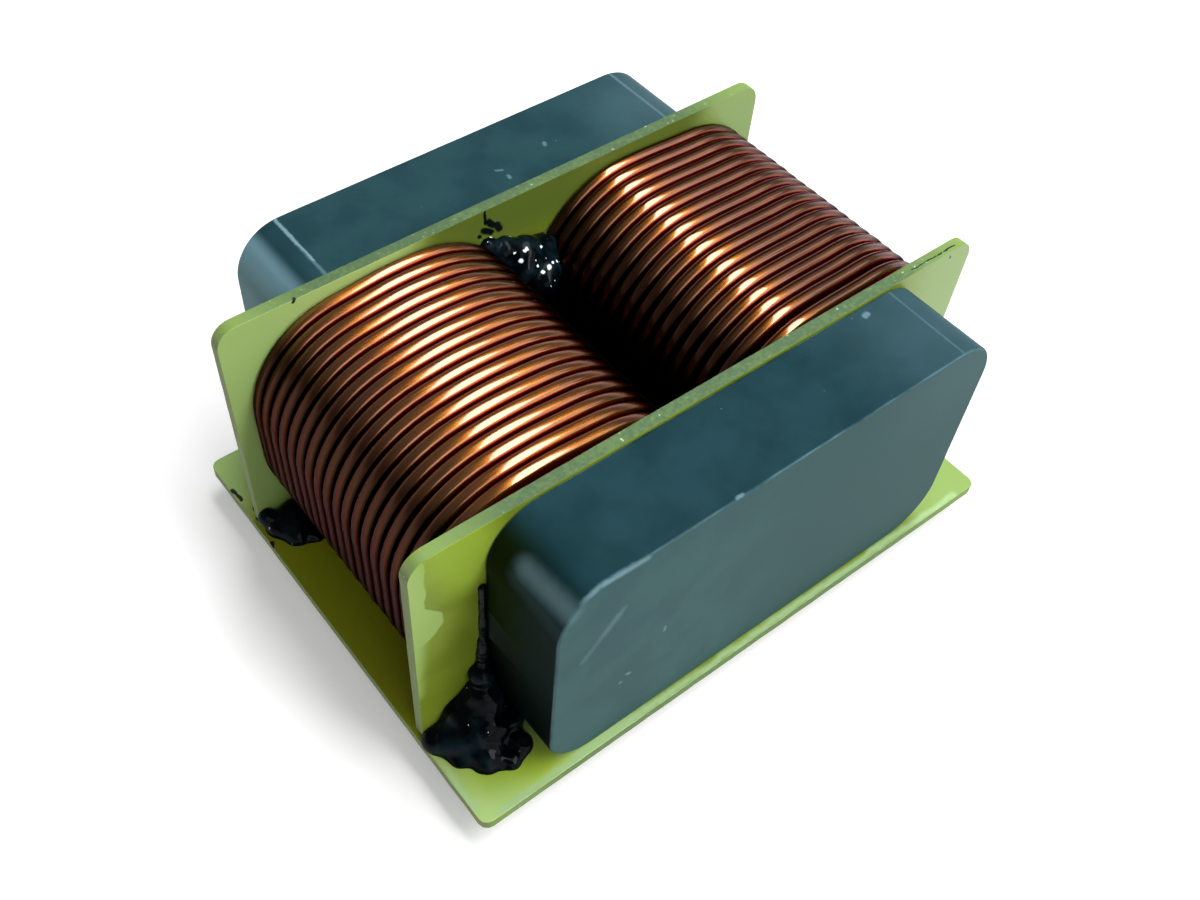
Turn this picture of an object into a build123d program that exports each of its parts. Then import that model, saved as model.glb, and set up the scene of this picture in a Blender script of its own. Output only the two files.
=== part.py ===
from build123d import *
import math
import os

# Flat wire inductor: two edge-wound coils of flat enamelled copper on a gapped core of two U halves,
# held between two glass-epoxy flanges that stand on a glass-epoxy base plate.
# Millimetres. X runs along the yokes, Y along the coils (the front is -Y), Z is up.
# The origin lies in the base plate's underside, below the middle of the core.

# Wire of both coils
turns = 18
wire_width = 5.0
wire_thickness = 1.6
wire_edge_chamfer = 0.45  # stands for the rounded outer edge of the wire
upper_bend_facets = 5  # flat facets in each bend at the top of a turn, where the coils show
lower_bend_facets = 3
turn_gap = 0.27
pin_length = 3.5  # of the wire's ends, below the base plate
pin_tip_chamfer = 0.3

# Legs of the core, and the air gap that a spacer takes up in each
leg_width = 22.0
leg_height = 18.0
leg_corner_radius = 6.8
leg_corner_facets = 3  # flat facets round each corner of the legs and of what fits round them
pole_edge_chamfer = 0.3
air_gap = 2.0

# Insulating sleeves round the legs
sleeve_wall = 0.5
sleeve_clearance = 0.1
sleeve_end_play = 0.1

# Room of the coils on the legs and beside each other
coil_side_play = 1.6  # each side of the sleeve, for a coil that hangs in the middle
coil_top_play = 0.5  # above the sleeve
coil_bottom_play = 2.0  # below the sleeve
coil_corner_ease = 0.1  # the coil's inner corners are rounder than the sleeve's outer ones
coil_gap = 2.7  # between the coils, if both hung in the middle
coil_lift = 0.1  # above the base plate
coil_end_play = 0.1  # from the rear flange
left_coil_rest = 1.0  # the coils hang towards +X: what is left between sleeve and coil there
right_coil_rest = 0.1
winding_room = 1.61  # that the turns leave free between the flanges
left_loose_gap = 0.05  # extra room beside the turn at the rear
right_loose_gap = 0.35  # extra room beside the turn at the front

# Yokes
yoke_depth = 11.75
yoke_corner_radius = 6.5
yoke_edge_chamfer = 0.35

# Flanges, one at each end of the coils
flange_thickness = 1.5
flange_rise = 0.3  # above the yokes
flange_side_margin = 1.65  # past the coils
flange_corner_radius = 2.6
window_clearance = 0.25  # round each leg where it passes through a flange

# Base plate
plate_thickness = 1.5
plate_side_margin = 0.6  # past the flanges
plate_front_margin = 1.05  # past the front yoke
plate_rear_margin = -0.65  # the rear yoke stands out past the plate
plate_corner_radius = 1.2
slot_clearance = 0.2  # round each lead

# Glue, a black epoxy: two mounds on the base plate, one between the coils, and a bead up one corner
coil_glue_gap = 0.15  # the mounds stop short of the coils' wavy sides
glue_edge_gap = 0.4  # from the plate's left edge
front_glue_overlap = 0.55  # past the left end of the front yoke
front_glue_reach = 9.4  # out from the front flange
front_glue_rise = 5.0  # above the base plate
front_bead_height = 23.5
front_bead_radius = 1.3
mound_facets = 8  # round half a mound
mound_levels = 3
mound_top_level = 0.5  # of a level, left flat on top
rear_glue_length = 6.8  # along X
rear_glue_reach = 6.6
rear_glue_rise = 4.6
top_glue_length = 11.5
top_glue_reach = 6.0
top_glue_rise = 5.5
top_glue_drop = 4.0  # of its top below the tops of the coils

# Sizes and places that follow from the ones above
sleeve_space = sleeve_clearance + sleeve_wall
bore_width = leg_width + 2 * (sleeve_space + coil_side_play)
bore_height = leg_height + 2 * sleeve_space + coil_top_play + coil_bottom_play
bore_corner_radius = leg_corner_radius + sleeve_space + coil_corner_ease
coil_width = bore_width + 2 * wire_width
coil_height = bore_height + 2 * wire_width
coil_corner_radius = bore_corner_radius + wire_width
turn_pitch = wire_thickness + turn_gap
winding_length = turns * turn_pitch - turn_gap + coil_end_play + winding_room
half_winding = winding_length / 2
flange_outer = half_winding + flange_thickness
leg_centre = (coil_width + coil_gap) / 2
yoke_length = 2 * leg_centre + leg_width
yoke_height = leg_height + 2 * (sleeve_space + coil_bottom_play + wire_width + coil_lift)
flange_width = 2 * (leg_centre + coil_width / 2 + flange_side_margin)
flange_height = yoke_height + flange_rise
plate_length = flange_width + 2 * plate_side_margin
plate_depth = 2 * (flange_outer + yoke_depth) + plate_front_margin + plate_rear_margin
plate_shift_y = (plate_rear_margin - plate_front_margin) / 2
plate_top = plate_thickness
core_middle = plate_top + yoke_height / 2
coil_middle = plate_top + coil_lift + coil_height / 2
coil_top = coil_middle + coil_height / 2
left_coil_x = -leg_centre + coil_side_play - left_coil_rest
right_coil_x = leg_centre + coil_side_play - right_coil_rest
lead_offset = (coil_width - wire_width) / 2
glue_left_edge = -plate_length / 2 + glue_edge_gap


def rounded(width, height, radius, facets):
    """Rounded rectangle in which each corner is a row of flat facets."""
    points = []
    for quarter, (x_sign, y_sign) in enumerate([(1, 1), (-1, 1), (-1, -1), (1, -1)]):
        x = x_sign * (width / 2 - radius)
        y = y_sign * (height / 2 - radius)
        for i in range(facets + 1):
            angle = math.radians(90 * (quarter + i / facets))
            points.append((x + radius * math.cos(angle), y + radius * math.sin(angle)))
    return make_face(Polyline(*points, close=True))


def bar(outline, x, z, y_start, y_end):
    """Bar of that outline along Y from y_start to y_end, centred on x, z."""
    plane = Plane(origin=(x, y_start, z), x_dir=(1, 0, 0), z_dir=(0, 1, 0))
    return extrude(plane * outline, y_end - y_start)


def leg_outline(space):
    """Outline of a leg, or of what fits round it with that space."""
    return rounded(leg_width + 2 * space, leg_height + 2 * space, leg_corner_radius + space,
                   leg_corner_facets)


def base_plate():
    """Board with a slot for each lead of the coils."""
    outline = Pos(0, plate_shift_y) * RectangleRounded(plate_length, plate_depth, plate_corner_radius)
    plate = extrude(outline, plate_thickness)
    slot = Rectangle(wire_width + 2 * slot_clearance, wire_thickness + 2 * slot_clearance)
    for x, y in lead_places():
        plate -= extrude(Pos(x, y) * slot, plate_thickness)
    return plate


def flange(side):
    """Board that stands on the base plate, with a window for each leg. Side is -1 in front, 1 behind."""
    y_start = min(side * half_winding, side * flange_outer)
    board = Pos(0, y_start, plate_top + flange_height / 2) * Rot(-90, 0, 0) * extrude(
        Rectangle(flange_width, flange_height), flange_thickness)
    top_corners = board.edges().filter_by(Axis.Y).group_by(Axis.Z)[-1]
    board = fillet(top_corners, flange_corner_radius)
    for x in (-leg_centre, leg_centre):
        board -= bar(leg_outline(window_clearance), x, core_middle, y_start, y_start + flange_thickness)
    return board


def core_half(side):
    """Yoke with rounded corners and two leg stubs that end half an air gap from the middle."""
    yoke = bar(RectangleRounded(yoke_length, yoke_height, yoke_corner_radius), 0, core_middle,
               flange_outer, flange_outer + yoke_depth)
    faces = yoke.faces().sort_by(Axis.Y)
    yoke = chamfer(faces[0].edges() + faces[-1].edges(), yoke_edge_chamfer)
    for x in (-leg_centre, leg_centre):
        leg = bar(leg_outline(0), x, core_middle, air_gap / 2, flange_outer + yoke_edge_chamfer)
        leg = chamfer(leg.faces().sort_by(Axis.Y)[0].edges(), pole_edge_chamfer)
        yoke += leg
    return yoke if side > 0 else mirror(yoke, about=Plane.XZ)


def gap_spacer(x):
    """Plate that fills the air gap of one leg."""
    return bar(leg_outline(0), x, core_middle, -air_gap / 2, air_gap / 2)


def sleeve(x):
    """Insulating tube between the flanges, round one leg."""
    start = -half_winding + sleeve_end_play
    end = half_winding - sleeve_end_play
    return (bar(leg_outline(sleeve_space), x, core_middle, start, end)
            - bar(leg_outline(sleeve_clearance), x, core_middle, start, end))


def turn_places(loose_gap):
    """Y of each turn's middle, from the first turn, which lies against the rear flange."""
    first = half_winding - coil_end_play - wire_thickness / 2
    return [first - i * turn_pitch - (loose_gap if i else 0) for i in range(turns)]


def wire_section(x, y, z, angle, tip_cut=0):
    """Corners of the flat wire's section, whose wide way points out of the coil at an angle counted
    from +X. A tip cut makes it smaller all round."""
    out = Vector(math.cos(math.radians(angle)), 0, math.sin(math.radians(angle)))
    half_width = wire_width / 2 - tip_cut
    half_thickness = wire_thickness / 2 - tip_cut
    cut = wire_edge_chamfer
    corners = [(-half_width, -half_thickness), (half_width - cut, -half_thickness),
               (half_width, -half_thickness + cut), (half_width, half_thickness - cut),
               (half_width - cut, half_thickness), (-half_width, half_thickness)]
    return [Vector(x, y, z) + out * u + Vector(0, 1, 0) * v for u, v in corners]


def bend(x, z, radius, y, start, facets):
    """Sections along a quarter turn of the wire about x, z, from an angle counted from +X."""
    sections = []
    for i in range(facets + 1):
        angle = start + 90 * i / facets
        sections.append(wire_section(x + radius * math.cos(math.radians(angle)), y,
                                     z + radius * math.sin(math.radians(angle)), angle))
    return sections


def coil_sections(loose_gap):
    """Sections along the wire of one coil, about its own middle. It starts with a lead straight up, and
    each turn goes up the +X side, over the top, down the -X side and back below, where the wire steps
    over to the next turn. The last turn ends with a lead straight down."""
    radius = coil_corner_radius - wire_width / 2
    across = lead_offset - radius
    upright = (coil_height - wire_width) / 2 - radius
    places = turn_places(loose_gap)
    tip = -coil_middle - pin_length
    sections = [wire_section(lead_offset, places[0], tip, 0, pin_tip_chamfer),
                wire_section(lead_offset, places[0], tip + pin_tip_chamfer, 0)]
    for i, y in enumerate(places):
        if i:
            sections += bend(-across, -upright, radius, places[i - 1], 180, lower_bend_facets)
            sections += bend(across, -upright, radius, y, 270, lower_bend_facets)
        sections += bend(across, upright, radius, y, 0, upper_bend_facets)
        sections += bend(-across, upright, radius, y, 90, upper_bend_facets)
    sections.append(wire_section(-lead_offset, places[-1], tip + pin_tip_chamfer, 180))
    sections.append(wire_section(-lead_offset, places[-1], tip, 180, pin_tip_chamfer))
    return sections


def skin(sections):
    """Solid with flat facets from each section to the next one, closed by the first and last."""
    count = len(sections[0])
    outlines = [sections[0], sections[-1]]
    for before, after in zip(sections, sections[1:]):
        for i in range(count):
            j = (i + 1) % count
            outlines.append([before[i], before[j], after[j], after[i]])
    return Solid(Shell([Face(Wire.make_polygon(outline, close=True)) for outline in outlines]))


def coil(x, turned, loose_gap):
    """One coil in its place. A turned coil has its first turn in front and its last one at the rear."""
    wire = skin(coil_sections(loose_gap))
    if turned:
        wire = Pos(0, turned_shift(loose_gap), 0) * Rot(0, 0, 180) * wire
    return Pos(x, 0, coil_middle) * wire


def turned_shift(loose_gap):
    """Moves a turned coil back, so that its last turn lies against the rear flange."""
    return turn_places(loose_gap)[0] + turn_places(loose_gap)[-1]


def lead_places():
    """Middle of each lead where it passes through the base plate."""
    left = turn_places(left_loose_gap)
    right = turn_places(right_loose_gap)
    return [(left_coil_x + lead_offset, left[0]), (left_coil_x - lead_offset, left[-1]),
            (right_coil_x - lead_offset, right[-1]), (right_coil_x + lead_offset, right[0])]


def mound(x, y, z, reach_x, reach_y, rise):
    """Half a lump of flat facets that lies against a wall at y, reaches back from it by reach_y, which is
    negative towards the front, and has its widest level at z. A negative rise gives its lower part."""
    sections = []
    for level in range(mound_levels + 1):
        slope = math.radians(90 * level / (mound_levels + mound_top_level))
        sections.append([Vector(x + reach_x * math.cos(slope) * math.cos(math.pi * i / mound_facets),
                                y + reach_y * math.cos(slope) * math.sin(math.pi * i / mound_facets),
                                z + rise * math.sin(slope)) for i in range(mound_facets + 1)])
    return skin(sections)


def coil_space(x):
    """Space of a coil, with the gap that glue keeps from it."""
    gap = coil_glue_gap
    return bar(rounded(coil_width + 2 * gap, coil_height + 2 * gap, coil_corner_radius + gap,
                       upper_bend_facets), x, coil_middle, -half_winding, half_winding)


def front_glue():
    """Mound on the base plate against the front flange, from the plate's edge to the front yoke, with a
    bead up the corner between flange and yoke."""
    corner_x = -yoke_length / 2
    right_end = corner_x + front_glue_overlap
    middle = (glue_left_edge + right_end) / 2
    lump = mound(middle, -flange_outer, plate_top, right_end - middle, -front_glue_reach, front_glue_rise)
    bead_middle = Pos(corner_x, -flange_outer, plate_top)
    bead = bead_middle * extrude(Polygon((0, 0), (-front_bead_radius, 0), (0, -front_bead_radius),
                                         align=None), front_bead_height)
    yoke = bar(RectangleRounded(yoke_length, yoke_height, yoke_corner_radius), 0, core_middle,
               -flange_outer - yoke_depth, -flange_outer)
    return lump + bead - yoke


def rear_glue():
    """Mound on the base plate against the rear flange, at the foot of the left coil."""
    reach_x = rear_glue_length / 2
    return mound(glue_left_edge + reach_x, half_winding, plate_top, reach_x, -rear_glue_reach,
                 rear_glue_rise) - coil_space(left_coil_x)


def top_glue():
    """Mound in the valley between the two coils, against the rear flange."""
    x = (left_coil_x + right_coil_x) / 2
    z = coil_top - top_glue_drop - top_glue_rise
    lump = mound(x, half_winding, z, top_glue_length / 2, -top_glue_reach, top_glue_rise)
    lump += mound(x, half_winding, z, top_glue_length / 2, -top_glue_reach, -top_glue_rise)
    return lump - coil_space(left_coil_x) - coil_space(right_coil_x)


def write(name, shape):
    export_step(shape, f"parts/{name}.step")
    print(f"{name}: {len(shape.solids())} solid, {shape.volume:.1f} mm3, valid {shape.is_valid}")


os.makedirs("parts", exist_ok=True)
write("base_plate", base_plate())
write("front_flange", flange(-1))
write("rear_flange", flange(1))
write("front_core", core_half(-1))
write("rear_core", core_half(1))
write("left_gap_spacer", gap_spacer(-leg_centre))
write("right_gap_spacer", gap_spacer(leg_centre))
write("left_sleeve", sleeve(-leg_centre))
write("right_sleeve", sleeve(leg_centre))
write("left_coil", coil(left_coil_x, False, left_loose_gap))
write("right_coil", coil(right_coil_x, True, right_loose_gap))
write("front_glue", front_glue())
write("rear_glue", rear_glue())
write("top_glue", top_glue())
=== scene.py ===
import bpy
import bmesh
import math
from mathutils import Matrix, Vector, noise


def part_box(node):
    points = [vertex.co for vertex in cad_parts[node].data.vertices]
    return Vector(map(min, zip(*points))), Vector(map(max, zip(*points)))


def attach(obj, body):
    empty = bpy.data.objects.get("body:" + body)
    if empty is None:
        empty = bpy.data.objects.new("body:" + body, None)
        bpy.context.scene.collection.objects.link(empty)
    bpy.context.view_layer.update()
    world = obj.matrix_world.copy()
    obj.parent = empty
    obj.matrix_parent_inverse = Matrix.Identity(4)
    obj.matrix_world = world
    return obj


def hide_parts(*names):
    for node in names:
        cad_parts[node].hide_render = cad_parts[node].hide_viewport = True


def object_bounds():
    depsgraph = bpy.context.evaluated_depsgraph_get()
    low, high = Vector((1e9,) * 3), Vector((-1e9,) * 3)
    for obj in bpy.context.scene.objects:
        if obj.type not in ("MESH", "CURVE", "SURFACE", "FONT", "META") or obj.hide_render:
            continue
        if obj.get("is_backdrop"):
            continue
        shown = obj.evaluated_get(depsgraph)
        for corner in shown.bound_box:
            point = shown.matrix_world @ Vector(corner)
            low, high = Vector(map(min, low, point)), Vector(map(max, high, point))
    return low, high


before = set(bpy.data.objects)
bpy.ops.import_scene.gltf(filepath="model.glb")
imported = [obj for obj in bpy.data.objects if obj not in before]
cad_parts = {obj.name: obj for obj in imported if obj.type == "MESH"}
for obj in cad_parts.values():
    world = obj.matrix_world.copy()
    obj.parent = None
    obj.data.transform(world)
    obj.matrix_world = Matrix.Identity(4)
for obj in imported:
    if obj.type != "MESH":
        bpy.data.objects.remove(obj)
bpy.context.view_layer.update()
print("frame loaded,", len(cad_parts), "nodes")

mm = 0.001


def boxOf(node):
    # a node's lowest and highest corner, in millimetres
    low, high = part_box(node)
    return low / mm, high / mm


def middleOf(node):
    low, high = boxOf(node)
    return (low + high) / 2


# Faces that the marks below lie on, in millimetres
plateTop = boxOf("base_plate")[1].z
coreTop = boxOf("front_core")[1].z
coreFront = boxOf("front_core")[0].y
flangeFront = boxOf("front_flange")[0].y
flangeTop = boxOf("front_flange")[1].z
frontBoard = middleOf("front_flange").y
rearBoard = middleOf("rear_flange").y


def srgb(red, green, blue):
    # a colour as a picture shows it, 0 to 255, as the linear colour that Blender wants
    shares = [c / 255 for c in (red, green, blue)]
    return (*[s / 12.92 if s < 0.0404 else ((s + 0.055) / 1.055) ** 2.4 for s in shares], 1)


white, black = (1, 1, 1, 1), (0, 0, 0, 1)


# Shaders

class Socket:
    # wraps an output, so that sums on it add Math nodes
    def __init__(self, shader, output):
        self.shader = shader
        self.output = output

    def maths(self, operation, *values):
        return self.shader.node("Math", {"operation": operation}, dict(enumerate(values)))

    def __add__(self, other):
        return self.maths("ADD", self, other)

    def __radd__(self, other):
        return self.maths("ADD", other, self)

    def __sub__(self, other):
        return self.maths("SUBTRACT", self, other)

    def __rsub__(self, other):
        return self.maths("SUBTRACT", other, self)

    def __mul__(self, other):
        return self.maths("MULTIPLY", self, other)

    def __rmul__(self, other):
        return self.maths("MULTIPLY", other, self)

    def __abs__(self):
        return self.maths("ABSOLUTE", self)

    def sine(self):
        return self.maths("SINE", self)

    def least(self, other):
        return self.maths("MINIMUM", self, other)

    def most(self, other):
        return self.maths("MAXIMUM", self, other)


class Shader:
    def __init__(self, name):
        self.material = bpy.data.materials.new(name)
        self.material.use_nodes = True
        self.tree = self.material.node_tree
        self.tree.nodes.clear()

    def node(self, kind, settings=None, inputs=None, output=0):
        made = self.tree.nodes.new("ShaderNode" + kind)
        for key, value in (settings or {}).items():
            setattr(made, key, value)
        for key, value in (inputs or {}).items():
            if isinstance(value, Socket):
                self.tree.links.new(value.output, made.inputs[key])
            else:
                made.inputs[key].default_value = value
        return Socket(self, made.outputs[output]) if made.outputs else None

    def place(self):
        # where a point is on the object, in millimetres
        here = self.node("TexCoord", output="Object")
        return self.node("VectorMath", {"operation": "SCALE"}, {0: here, "Scale": 1 / mm})

    def facing(self):
        # which way the surface looks
        return self.node("NewGeometry", output="Normal")

    def parts(self, vector):
        return [self.node("SeparateXYZ", {}, {0: vector}, axis) for axis in range(3)]

    def stretched(self, vector, scale):
        return self.node("VectorMath", {"operation": "MULTIPLY"}, {0: vector, 1: scale})

    def grain(self, vector, size, detail=2.0):
        # noise whose grains are about that many millimetres wide
        return self.node("TexNoise", {}, {"Vector": vector, "Scale": 1 / size, "Detail": detail})

    def step(self, value, low, high):
        # 0 below low, 1 above high, smooth between; low above high turns it round
        return self.node("MapRange", {"interpolation_type": "SMOOTHSTEP"},
                         {"Value": value, "From Min": low, "From Max": high})

    def patches(self, grain):
        # the grain as soft patches of 0 and 1
        return self.step(grain, 0.35, 0.65)

    def mix(self, factor, first, second):
        return self.node("Mix", {"data_type": "RGBA"}, {0: factor, 6: first, 7: second}, 2)

    def stroke(self, vector, start, end, reach, soft=0.3):
        # 1 within reach of a line between two points, fading outward
        start, along = Vector(start), Vector(end) - Vector(start)
        offset = self.node("VectorMath", {"operation": "SUBTRACT"}, {0: vector, 1: start})
        share = self.node("VectorMath", {"operation": "DOT_PRODUCT"},
                          {0: offset, 1: along / along.length_squared}, "Value").most(0).least(1)
        nearest = self.node("VectorMath", {"operation": "SCALE"}, {0: along, "Scale": share})
        away = self.node("VectorMath", {"operation": "DISTANCE"}, {0: offset, 1: nearest}, "Value")
        return self.step(away, reach * (1 + soft), reach * (1 - soft))

    def warped(self, vector, size, reach):
        # pushed about by up to the reach each way, so that outlines drawn from it come out ragged
        push = self.node("TexNoise", {}, {"Vector": vector, "Scale": 1 / size, "Detail": 3.0}, "Color")
        centred = self.node("VectorMath", {"operation": "SUBTRACT"}, {0: push, 1: (0.5, 0.5, 0.5)})
        scaled = self.node("VectorMath", {"operation": "SCALE"}, {0: centred, "Scale": reach * 2})
        return self.node("VectorMath", {"operation": "ADD"}, {0: vector, 1: scaled})

    def bump(self, height, strength, distance):
        return self.node("Bump", {}, {"Height": height, "Strength": strength, "Distance": distance * mm})

    def done(self, inputs):
        surface = self.node("BsdfPrincipled", {}, inputs)
        self.node("OutputMaterial", {}, {"Surface": surface})
        return self.material


copperLook = {
    "dark": (0.2, 0.055, 0.001, 1), "light": (0.34, 0.107, 0.002, 1),  # under brown enamel
    "dimmed": (0.17, 0.062, 0.026, 1), "dimmedFrom": 15, "dimmedTo": 19, "dimmedShare": 0.8,  # duller and darker towards the right: painted shade that dims the lamp's reflection there
    "shade": (0.05, 0.018, 0.009, 1),  # painted shade behind the gloss
    "paintedFlankLight": (0.42, 0.1, 0.02, 1), "gap": (0.4, 0.028, 0.003, 1),  # painted light bounced between the turns, towards the slits between them
    "side": (0.058, 0.02, 0.008, 1), "sideSlitShade": (0.008, 0.003, 0.001, 1),  # painted shade where the winding faces sideways, darker towards the slits
    "edge": (0.34, 0.19, 0.09, 1),  # glancing light
    "tin": srgb(176, 174, 168), "tinTop": -0.2, "tinSoft": 0.1, "tinRagged": 1.5,  # on the leads, low down
    "streak": 0.6, "streakScale": (0.12, 3, 0), "cloud": 5,  # sizes in millimetres
    "roughness": 0.28, "roughSpread": 0.1, "bump": (0.25, 0.02),  # bump: how strong, and millimetres deep
    "coatWeight": 0.95, "sideCoat": 0.1, "coatRoughness": 0.1, "coatIor": 1.8,
    # where a band begins and is full: how far up the winding faces, and across a turn, -1 front to 1 rear
    "upward": (0.72, 1.0), "frontBare": (-0.6, -0.8), "frontGap": (-0.6, -0.78), "rearGap": (0.95, 1),
    "rearFlank": (0.45, 0.75), "glossAgain": (0.25, 0.45), "besideMiddle": (0.3, 0.75),
    # for each coil, where the gloss ends across a turn, and how strong a band of painted shade lies behind
    # that
    "left": {"glossEnd": (0.22, 0.55), "shadeBand": 0},
    "right": {"glossEnd": (-0.15, 0.15), "shadeBand": 0.85},
}


def copperShader(name, look, side):
    shader = Shader(name)
    here = shader.place()
    x, z = shader.parts(here)[::2]
    wire = shader.node("Attribute", {"attribute_name": "wireSpace"}, output="Vector")
    along, upness = shader.parts(wire)[1:]
    upward = shader.step(upness, *look["upward"])
    streak = shader.grain(shader.stretched(wire, look["streakScale"]), look["streak"], 3)
    cloud = shader.grain(here, look["cloud"], 3)
    colour = shader.mix(shader.patches(streak * 0.6 + cloud * 0.4), look["dark"], look["light"])
    # painted shade: duller, darker metal towards the right, so that it mirrors less of the lamp
    paintedDimming = shader.step(x, look["dimmedFrom"], look["dimmedTo"]) * look["dimmedShare"]
    colour = shader.mix(paintedDimming, colour, look["dimmed"])
    behind = shader.step(along, *side["glossEnd"])
    again = shader.step(along, *look["glossAgain"])
    bare = (behind * (1 - again * side["shadeBand"])).most(shader.step(along, *look["frontBare"]))
    # a band of painted shade behind the gloss, on the right coil
    colour = shader.mix(behind * (1 - again) * side["shadeBand"], colour, look["shade"])
    # painted light bounced between the turns: on the rear flank and in the slits
    colour = shader.mix(shader.step(along, *look["rearFlank"]), colour, look["paintedFlankLight"])
    gap = shader.step(along, *look["frontGap"]).most(shader.step(along, *look["rearGap"]))
    colour = shader.mix(gap, colour, look["gap"])
    # painted shade where the winding faces sideways, darker towards the slits
    sideSlitShade = shader.step(abs(along), *look["besideMiddle"])
    colour = shader.mix(upward, shader.mix(sideSlitShade, look["side"], look["sideSlitShade"]), colour)
    coated = upward * (1 - bare) * look["coatWeight"] + (1 - upward) * (1 - sideSlitShade) * look["sideCoat"]
    tinLine = z + (cloud - 0.5) * look["tinRagged"]
    tinned = shader.step(tinLine, look["tinTop"] + look["tinSoft"], look["tinTop"] - look["tinSoft"])
    return shader.done({
        "Base Color": shader.mix(tinned, colour, look["tin"]), "Metallic": 1,
        "Roughness": look["roughness"] + (streak - 0.5) * look["roughSpread"], "Specular Tint": look["edge"],
        "Coat Weight": (1 - tinned) * coated, "Coat Roughness": look["coatRoughness"],
        "Coat IOR": look["coatIor"], "Normal": shader.bump(streak, *look["bump"]),
    })


boardLook = {
    "face": srgb(132, 152, 46), "deep": srgb(118, 136, 32), "speck": srgb(190, 215, 180),
    "ink": srgb(8, 12, 14),
    # cut edges in their own paler colour; the top and front edges get painted shade, the left-facing ones
    # painted light
    "edge": srgb(122, 154, 92), "shadedTopEdge": srgb(74, 101, 68), "shadedFrontEdge": srgb(98, 128, 72),
    "litLeftEdge": srgb(156, 172, 116),
    # painted light where light shows through the boards or falls on them, a painted highlight along the cut
    # (mint), and painted shade (shaded)
    "pale": srgb(142, 172, 94), "glow": srgb(168, 199, 118), "mint": srgb(164, 196, 138),
    "bright": srgb(158, 186, 62), "shaded": srgb(96, 116, 42), "warm": srgb(158, 166, 30),
    "patch": srgb(164, 194, 104),
    "weave": 0.55, "cloud": 9, "fine": 0.5, "layer": 0.8,  # sizes in millimetres
    "weaveShow": 0.03, "weaveDepth": 0.35, "layerAlong": 0.25, "layerAcross": 6,
    "tintRagged": (2.5, 0.5), "inkRagged": (0.8, 0.25),  # grain and reach of their outlines, in millimetres
    "specks": (0.71, 0.76), "patchShare": 0.3,
    # how squarely a face looks that way where its look begins and is full
    "edgeFacing": (0.75, 0.35), "upFacing": (0.6, 0.9), "outFacing": (-0.6, -0.9),
    "edgeFade": (38, 25),  # millimetres from the middle, where the painted shade on the long edges begins and is full
    "roughness": 0.32, "roughSpread": 0.1, "edgeRoughness": 0.3, "gloss": 0.25, "ior": 1.55,
    "bump": (0.3, 0.03),
}
# paintedLightAndShade: painted light where light shows through or falls, and painted shade; from and to,
# reach in millimetres, how soft, and which colour;
# ink: black marks, from, to and reach
boardMarks = {
    "plate": {
        "paintedLightAndShade": [
            ((37, -27, plateTop), (39, -10, plateTop), 10, 0.6, "pale"),
            ((-36, -31, plateTop), (-26, -32, plateTop), 8, 0.7, "glow"),
            ((-38, 27, plateTop), (-30, 30, plateTop), 8, 0.5, "glow"),
            ((-35.5, -26.5, plateTop), (-30.5, -29.3, plateTop), 2.6, 0.9, "bright"),
            ((-37.5, -31.4, plateTop), (36, -31.4, plateTop), 0.4, 0.9, "mint"),
            ((-39.5, -29.5, plateTop), (-39.6, -15, plateTop), 0.4, 0.9, "mint"),
            ((38, 27, plateTop), (39, 27, plateTop), 8, 0.5, "pale"),
            ((-39, -13, plateTop), (-39, 11, plateTop), 9, 0.5, "warm"),
        ],
        "ink": [
            ((-39.7, 24.5, plateTop), (-39.5, 22.4, plateTop), 0.25),
            ((-39.7, 14.2, plateTop), (-40.1, 13.6, plateTop), 0.3),
        ],
    },
    "flange": {
        "paintedLightAndShade": [
            ((-40.4, frontBoard, 34), (-40.6, frontBoard, 25), 3.1, 0.04, "patch"),
            ((-39.6, frontBoard, 25), (-38.6, frontBoard, 23.6), 2.9, 0.04, "patch"),
            ((-40.8, frontBoard, 22), (-41.5, frontBoard, 12), 2.8, 0.3, "patch"),
            ((-34, frontBoard, 36), (-32, frontBoard, 30), 4, 0.6, "bright"),
            ((-8, rearBoard, 34), (26, rearBoard, 34), 5, 0.6, "shaded"),
            ((39, frontBoard, 34), (40, frontBoard, 30), 9, 0.4, "pale"),
            ((-41, rearBoard, 10), (-40, rearBoard, 27), 8, 0.5, "glow"),
            ((-40, rearBoard, 30), (-20, rearBoard, 37), 6.5, 0.5, "glow"),
            ((39, rearBoard, 33), (40, rearBoard, 30), 9, 0.4, "pale"),
        ],
        "ink": [
            ((29.2, -18.5, flangeTop), (36.4, -18.5, flangeTop), 0.1),
            ((35.4, flangeFront, 34.3), (35.5, flangeFront, 34.1), 0.15),
            ((-29.8, 17.5, 34.9), (-29.6, 17.6, flangeTop), 0.25),
            ((-4.3, 17.5, 34.9), (-4.2, 17.5, 33.2), 0.22), ((-4.6, 17.5, 32.3), (-3.4, 17.5, 31.4), 0.4),
            ((-3.8, 17.5, 33.2), (-3.2, 17.5, 32.4), 0.45), ((-2.6, 17.5, 32.2), (-2.2, 17.5, 31.4), 0.5),
            ((-5.1, 17.5, 31.6), (-5.0, 17.5, 31.5), 0.3), ((-4.4, 17.5, 30.6), (-3.6, 17.5, 30.5), 0.3),
        ],
    },
    "spacer": {"paintedLightAndShade": [], "ink": []},
}


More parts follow.
